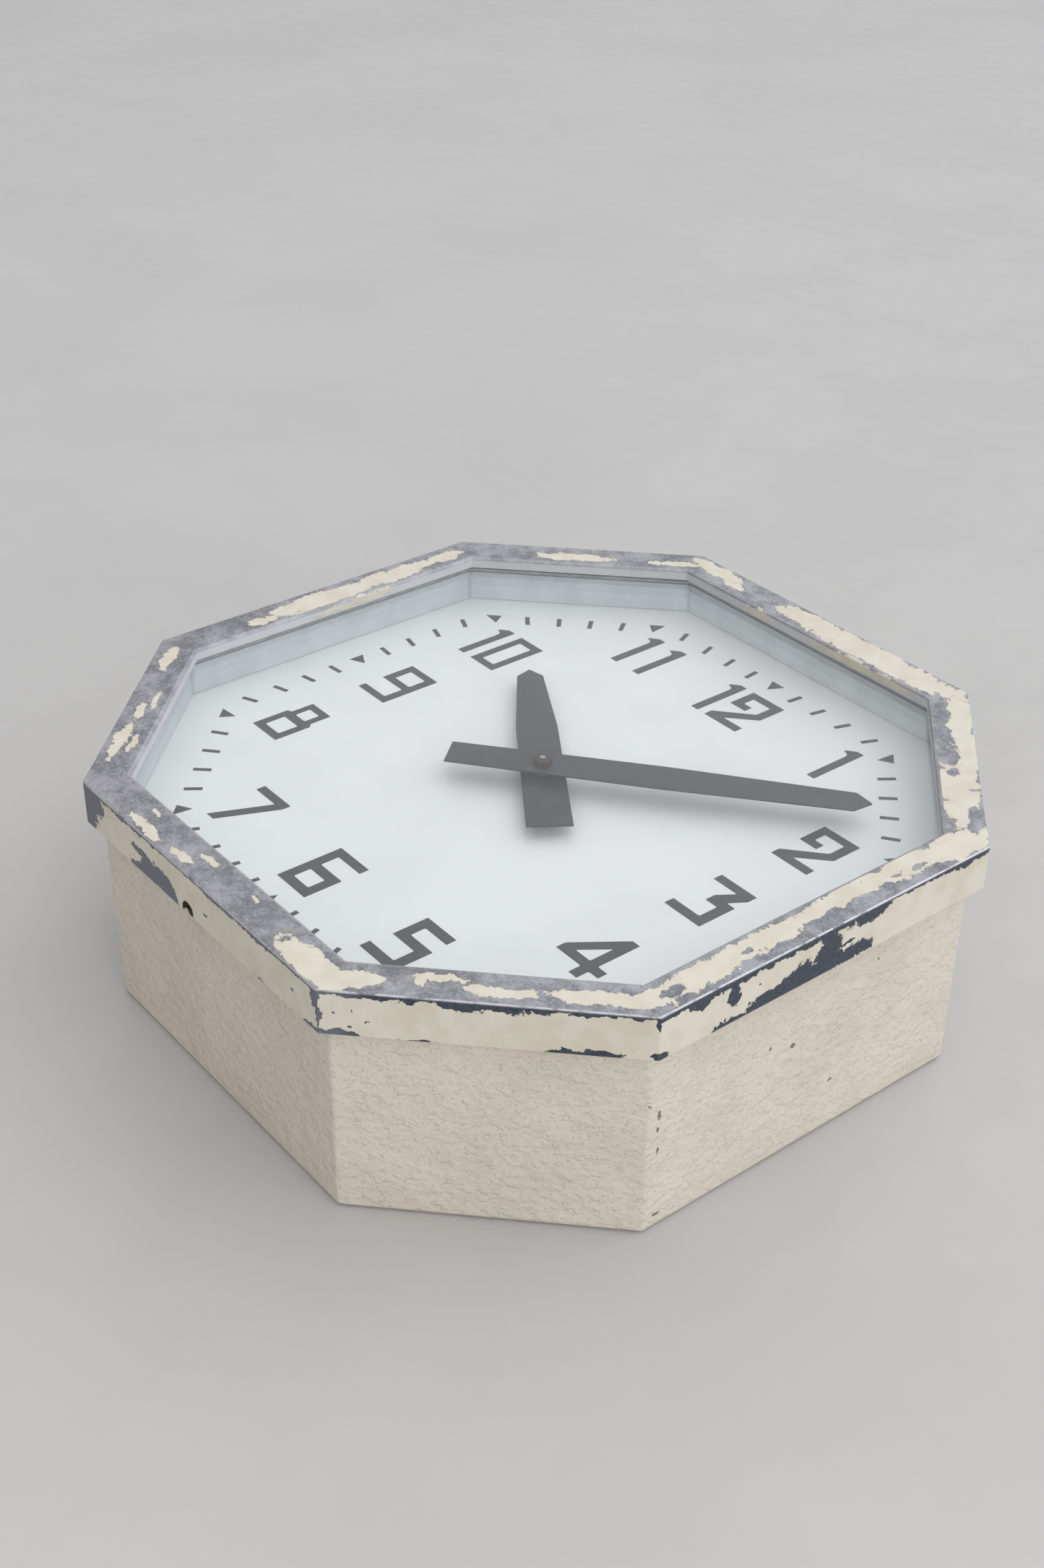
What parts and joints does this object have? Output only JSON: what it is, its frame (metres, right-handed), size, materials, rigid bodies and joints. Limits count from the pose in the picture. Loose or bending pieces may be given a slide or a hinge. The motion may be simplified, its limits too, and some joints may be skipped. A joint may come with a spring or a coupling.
{
  "type": "wall clock",
  "caption": "Octagonal wall clock with a deep cast case, a hinged glazed bezel, a white dial with numerals, flat black hands and a pulse-driven movement.",
  "frame": {"origin": "middle of the back face of the case, in the plane that lies on the wall", "axes": "+Z out of the dial, away from the wall; +Y towards 12 o'clock; +X towards 3 o'clock"},
  "size_m": [0.4, 0.4, 0.128],
  "materials": {
    "case_paint": "worn cream enamel with an orange-peel texture over bare grey metal",
    "bezel_paint": "worn cream enamel, scraped through to mottled grey metal on the edges and faces",
    "clear_glass": "polished, slightly hazy",
    "rubber": "matte",
    "reveal_paint": "satin grey-blue",
    "dial_enamel": "satin white",
    "hand_black": "matte black, also the dial's printing",
    "steel": "satin",
    "rusty_steel": "matte, browned by rust",
    "brass": "satin",
    "ferrite": "matte dark grey",
    "copper_winding": "satin enamelled copper wire",
    "bakelite": "satin",
    "nylon": "matte",
    "lead_blue": "matte",
    "lead_brown": "matte"
  },
  "bodies": {
    "case": {"case_shell": "case_paint", "dial_plate": "dial_enamel", "dial_stud_1": "steel", "dial_stud_2": "steel", "dial_stud_3": "steel", "stud_nut_1": "steel", "stud_nut_2": "steel", "stud_nut_3": "steel", "movement_front_plate": "brass", "movement_back_plate": "brass", "movement_pillar_1": "brass", "movement_pillar_2": "brass", "movement_pillar_3": "brass", "movement_screw_1": "steel", "movement_screw_2": "steel", "movement_screw_3": "steel", "coil_bobbin": "nylon", "coil_winding": "copper_winding", "magnet_core": "steel", "magnet_yoke": "steel", "pole_shoe": "steel", "terminal_block": "bakelite", "clamp_screw_1": "brass", "clamp_screw_2": "brass", "cable_grommet": "rubber", "hanger_plate": "steel", "hanger_screw_1": "steel", "hanger_screw_2": "steel", "hinge_pin_left": "steel", "hinge_pin_right": "steel", "coil_lead_blue": "lead_blue", "coil_lead_brown": "lead_brown"},
    "bezel_door": {"bezel_frame": "bezel_paint", "front_glass": "clear_glass", "front_gasket": "rubber", "rear_gasket": "rubber", "glass_retainer": "reveal_paint", "case_seal": "rubber", "retainer_screw_1": "steel", "retainer_screw_2": "steel", "retainer_screw_3": "steel", "retainer_screw_4": "steel"},
    "lock_screw": {"bezel_screw": "rusty_steel"},
    "minute_train": {"centre_arbor": "steel", "centre_wheel": "brass", "cannon_pinion": "steel", "minute_hand": "hand_black", "minute_collet": "brass", "hub_nut": "rusty_steel"},
    "minute_wheel_set": {"minute_wheel": "brass", "minute_pinion": "steel"},
    "hour_train": {"hour_wheel": "brass", "hour_collet": "brass", "hour_hand": "hand_black"},
    "intermediate_set": {"intermediate_arbor": "steel", "intermediate_wheel": "brass"},
    "rotor": {"rotor_arbor": "steel", "rotor_magnet": "ferrite"}
  },
  "joints": [
    {"name": "bezel_hinge", "type": "hinge", "parent": "case", "child": "bezel_door", "pos_m": [0, 0.1965, 0.1012], "axis": [-1, 0, 0], "range_deg": [0, 105]},
    {"name": "lock_screw_turn", "type": "hinge", "parent": "case", "child": "lock_screw", "pos_m": [-0.0053, -0.19, 0.1069], "axis": [0, -1, 0], "continuous": true},
    {"name": "minute_spin", "type": "hinge", "parent": "case", "child": "minute_train", "pos_m": [0, 0, 0.1], "axis": [0, 0, -1], "continuous": true},
    {"name": "minute_wheel_spin", "type": "hinge", "parent": "case", "child": "minute_wheel_set", "pos_m": [0.024, 0, 0.09], "axis": [0, 0, -1], "continuous": true},
    {"name": "hour_spin", "type": "hinge", "parent": "case", "child": "hour_train", "pos_m": [0, 0, 0.1], "axis": [0, 0, -1], "continuous": true},
    {"name": "intermediate_spin", "type": "hinge", "parent": "case", "child": "intermediate_set", "pos_m": [-0.01851, 0.02206, 0.07], "axis": [0, 0, -1], "continuous": true},
    {"name": "rotor_spin", "type": "hinge", "parent": "case", "child": "rotor", "pos_m": [-0.042, 0.027, 0.07], "axis": [0, 0, -1], "continuous": true}
  ],
  "couplings": [
    {"joint": "minute_wheel_spin", "follows": "minute_spin", "ratio": -0.33333},
    {"joint": "hour_spin", "follows": "minute_spin", "ratio": 0.083333},
    {"joint": "intermediate_spin", "follows": "minute_spin", "ratio": -5},
    {"joint": "rotor_spin", "follows": "minute_spin", "ratio": 15}
  ]
}
